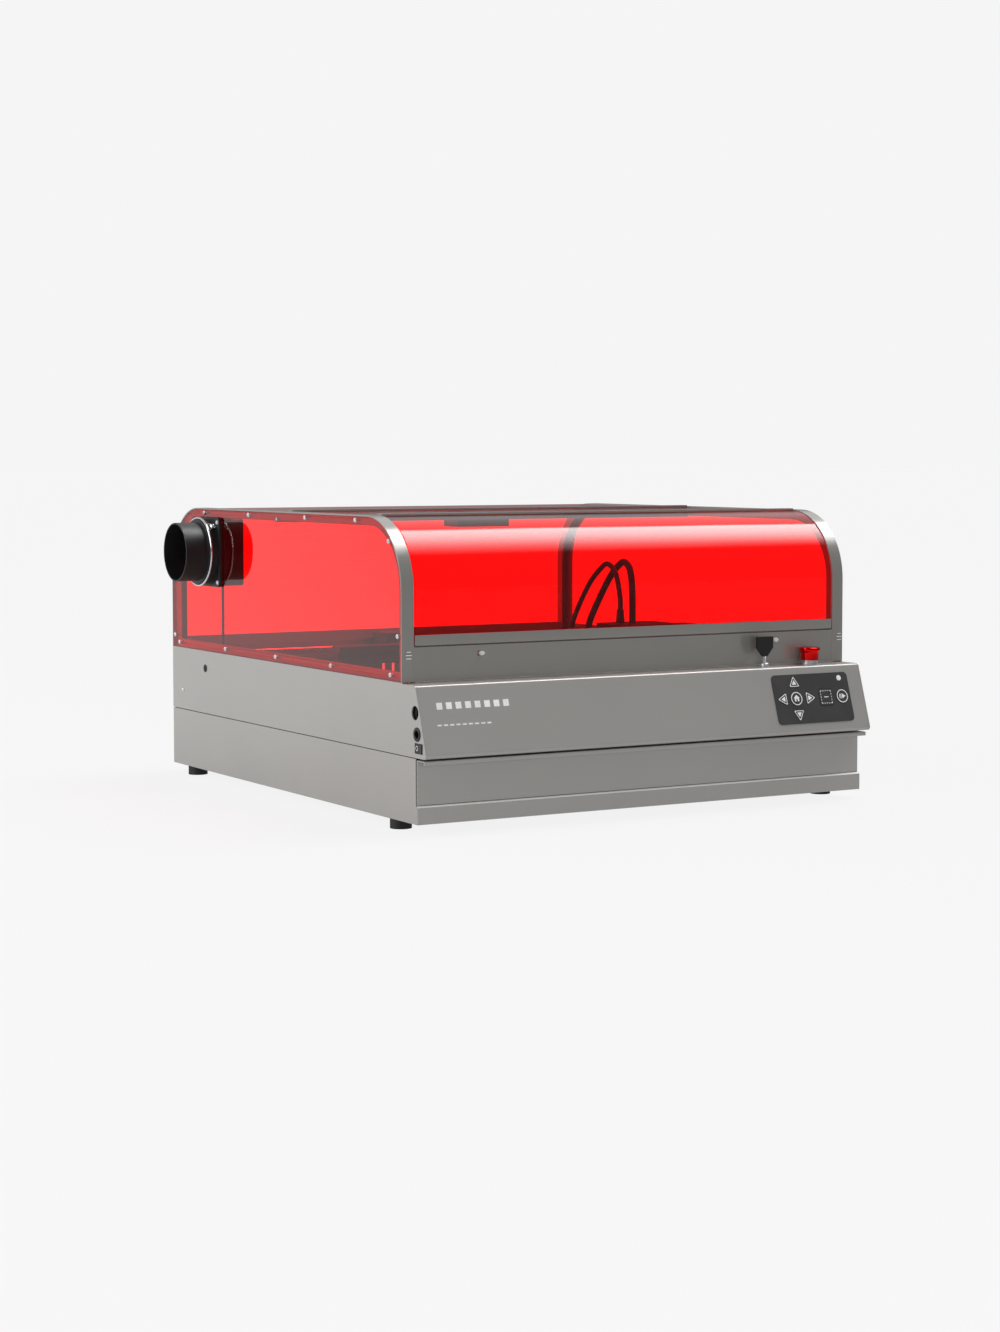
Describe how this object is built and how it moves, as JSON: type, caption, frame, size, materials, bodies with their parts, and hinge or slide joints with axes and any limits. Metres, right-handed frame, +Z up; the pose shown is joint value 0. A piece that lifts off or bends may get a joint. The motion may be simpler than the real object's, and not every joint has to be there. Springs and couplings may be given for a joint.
{
  "type": "laser engraver",
  "caption": "Enclosed desktop laser engraver with a hinged red acrylic lid, pull-out work tray, sliding gantry with laser head, sloped keypad console and side exhaust collar.",
  "frame": {"origin": "centre of the bounding box, on the surface that the feet stand on", "axes": "+X to the machine's right, +Y to its rear, +Z up; the console and drawer face -Y"},
  "size_m": [0.6196, 0.661, 0.3306],
  "materials": {
    "light_paint": "fine powder coat, satin",
    "frame_paint": "fine powder coat, satin",
    "dark_paint": "matt black powder coat",
    "red_acrylic": "transparent, polished",
    "zinc": "bright zinc plate",
    "alloy": "clear anodised",
    "black_alloy": "black anodised",
    "black_plastic": "fine moulded texture",
    "rubber": "matt",
    "keypad_film": "printed film",
    "stop_red": "red anodised, glossy",
    "chrome": "polished",
    "board_green": "solder mask"
  },
  "bodies": {
    "case": {"lower_case": "light_paint", "side_panel_left": "light_paint", "side_panel_right": "light_paint", "rear_panel": "light_paint", "console_shell": "light_paint", "front_panel": "frame_paint", "deck_plate": "dark_paint", "arch_left": "frame_paint", "arch_right": "frame_paint", "window_left": "red_acrylic", "window_right": "red_acrylic", "rear_cover": "red_acrylic", "casing_screws": "zinc", "hinge_bar": "dark_paint", "hinge_pins": "zinc", "camera_module": "black_plastic", "feet": "rubber", "drawer_runners": "zinc", "y_rails": "black_alloy", "y_motor": "dark_paint", "shaft_supports": "alloy", "y_belts": "rubber", "control_board": "board_green", "duct_flange": "black_plastic", "duct_clamp": "chrome", "fan_frame": "black_plastic", "fan_cable": "rubber", "keypad": "keypad_film", "key_lock": "chrome", "stop_base": "chrome", "side_sockets": "black_plastic"},
    "lid": {"lid_cover": "red_acrylic", "lid_rail": "frame_paint", "lid_hinge_bar": "black_alloy", "lid_strips": "dark_paint"},
    "drawer": {"drawer_front": "frame_paint", "drawer_tray": "dark_paint", "work_bed": "alloy"},
    "gantry": {"gantry_plates": "black_alloy", "x_beam": "black_alloy", "x_belt": "rubber", "x_motor": "dark_paint"},
    "head": {"head_carriage": "black_alloy", "laser_module": "black_alloy", "head_cables": "rubber"},
    "y_shaft": {"y_shaft": "zinc"},
    "y_idlers": {"y_idlers": "alloy"},
    "x_pulley": {"x_pulley": "alloy"},
    "x_idler": {"x_idler": "alloy"},
    "fan_rotor": {"fan_rotor": "black_plastic"},
    "power_rocker": {"power_rocker": "black_plastic"},
    "key_body": {"key": "black_plastic"},
    "stop_button": {"stop_button": "stop_red"},
    "key_up": {"key_up": "keypad_film"},
    "key_down": {"key_down": "keypad_film"},
    "key_left": {"key_left": "keypad_film"},
    "key_right": {"key_right": "keypad_film"},
    "key_home": {"key_home": "keypad_film"},
    "key_frame": {"key_frame": "keypad_film"},
    "key_play": {"key_play": "keypad_film"}
  },
  "joints": [
    {"name": "lid_hinge", "type": "hinge", "parent": "case", "child": "lid", "pos_m": [0.0207, 0.0265, 0.32], "axis": [-1, 0, 0], "range_deg": [0, 72]},
    {"name": "drawer_slide", "type": "slide", "parent": "case", "child": "drawer", "axis": [0, -1, 0], "range_m": [0, 0.4]},
    {"name": "gantry_y", "type": "slide", "parent": "case", "child": "gantry", "axis": [0, 1, 0], "range_m": [-0.096, 0.319]},
    {"name": "head_x", "type": "slide", "parent": "gantry", "child": "head", "axis": [1, 0, 0], "range_m": [-0.304, 0.096]},
    {"name": "y_shaft_spin", "type": "hinge", "parent": "case", "child": "y_shaft", "pos_m": [0.0207, 0.2945, 0.148], "axis": [1, 0, 0], "range_deg": [-2900, 900]},
    {"name": "y_idler_spin", "type": "hinge", "parent": "case", "child": "y_idlers", "pos_m": [0.0207, -0.2455, 0.148], "axis": [1, 0, 0], "range_deg": [-2900, 900]},
    {"name": "x_pulley_spin", "type": "hinge", "parent": "gantry", "child": "x_pulley", "pos_m": [0.2427, -0.0585, 0.17], "axis": [0, 1, 0], "range_deg": [-2760, 900]},
    {"name": "x_idler_spin", "type": "hinge", "parent": "gantry", "child": "x_idler", "pos_m": [-0.2013, -0.0585, 0.17], "axis": [0, 1, 0], "range_deg": [-2760, 900]},
    {"name": "fan_spin", "type": "hinge", "parent": "case", "child": "fan_rotor", "pos_m": [-0.2493, 0.2195, 0.277], "axis": [-1, 0, 0], "continuous": true},
    {"name": "power_switch", "type": "hinge", "parent": "case", "child": "power_rocker", "pos_m": [-0.2623, -0.3147, 0.0905], "axis": [0, 0, 1], "range_deg": [0, 12]},
    {"name": "key_turn", "type": "hinge", "parent": "case", "child": "key_body", "pos_m": [0.1872, -0.2925, 0.16], "axis": [0, 0, -1], "range_deg": [0, 90]},
    {"name": "stop_press", "type": "slide", "parent": "case", "child": "stop_button", "axis": [0, 0, -1], "range_m": [0, 0.0027], "stiffness_N_per_m": 1500, "springref_m": -0.001},
    {"name": "press_up", "type": "slide", "parent": "case", "child": "key_up", "axis": [0, 0.9494, -0.314], "range_m": [0, 0.0005], "stiffness_N_per_m": 800, "springref_m": -0.0002},
    {"name": "press_down", "type": "slide", "parent": "case", "child": "key_down", "axis": [0, 0.9494, -0.314], "range_m": [0, 0.0005], "stiffness_N_per_m": 800, "springref_m": -0.0002},
    {"name": "press_left", "type": "slide", "parent": "case", "child": "key_left", "axis": [0, 0.9494, -0.314], "range_m": [0, 0.0005], "stiffness_N_per_m": 800, "springref_m": -0.0002},
    {"name": "press_right", "type": "slide", "parent": "case", "child": "key_right", "axis": [0, 0.9494, -0.314], "range_m": [0, 0.0005], "stiffness_N_per_m": 800, "springref_m": -0.0002},
    {"name": "press_home", "type": "slide", "parent": "case", "child": "key_home", "axis": [0, 0.9494, -0.314], "range_m": [0, 0.0005], "stiffness_N_per_m": 800, "springref_m": -0.0002},
    {"name": "press_frame", "type": "slide", "parent": "case", "child": "key_frame", "axis": [0, 0.9494, -0.314], "range_m": [0, 0.0005], "stiffness_N_per_m": 800, "springref_m": -0.0002},
    {"name": "press_play", "type": "slide", "parent": "case", "child": "key_play", "axis": [0, 0.9494, -0.314], "range_m": [0, 0.0005], "stiffness_N_per_m": 800, "springref_m": -0.0002}
  ],
  "couplings": [
    {"joint": "y_shaft_spin", "follows": "gantry_y", "rad_per_m": -156.25},
    {"joint": "y_idler_spin", "follows": "gantry_y", "rad_per_m": -156.25},
    {"joint": "x_pulley_spin", "follows": "head_x", "rad_per_m": 156.25},
    {"joint": "x_idler_spin", "follows": "head_x", "rad_per_m": 156.25}
  ]
}
